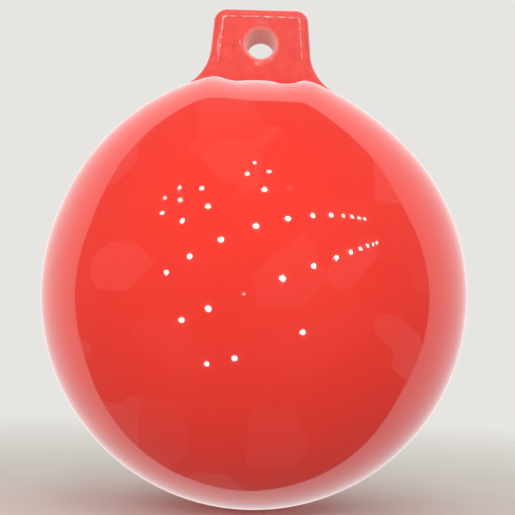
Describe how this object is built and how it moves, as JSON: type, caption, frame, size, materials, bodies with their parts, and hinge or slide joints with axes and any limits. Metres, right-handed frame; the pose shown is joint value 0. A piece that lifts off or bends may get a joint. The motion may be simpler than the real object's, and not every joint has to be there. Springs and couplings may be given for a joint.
{
  "type": "inflatable ball buoy with moulded rope eye",
  "caption": "Glossy red-orange inflatable ball buoy with a moulded rope eye between two shoulders at its crown and a recessed screw valve at its foot.",
  "frame": {"origin": "centre of the rope eye's bore, which the buoy hangs or is moored by", "axes": "+Z from the ball's centre up through the rope eye, +Y along the eye's bore, +X across the eye"},
  "size_m": [0.4, 0.3998, 0.4746],
  "materials": {
    "skin": "high gloss moulded soft PVC, red-orange",
    "eye": "high gloss moulded soft PVC, red-orange",
    "valve": "satin moulded nylon, off-white",
    "washer": "dull black rubber",
    "screw": "satin moulded nylon, off-white"
  },
  "bodies": {
    "buoy": {"ball_skin": "skin", "rope_eye": "eye", "valve_body": "valve"},
    "washer": {"valve_washer": "washer"},
    "screw": {"valve_screw": "screw"}
  },
  "joints": [
    {"name": "screw_travel", "type": "slide", "parent": "buoy", "child": "washer", "axis": [0, 0, -1], "range_m": [0, 0.008]},
    {"name": "screw_turn", "type": "hinge", "parent": "washer", "child": "screw", "pos_m": [0, 0, -0.432], "axis": [0, 0, -1], "range_deg": [0, 1441]}
  ],
  "couplings": [
    {"joint": "screw_turn", "follows": "screw_travel", "rad_per_m": 3141.6}
  ]
}
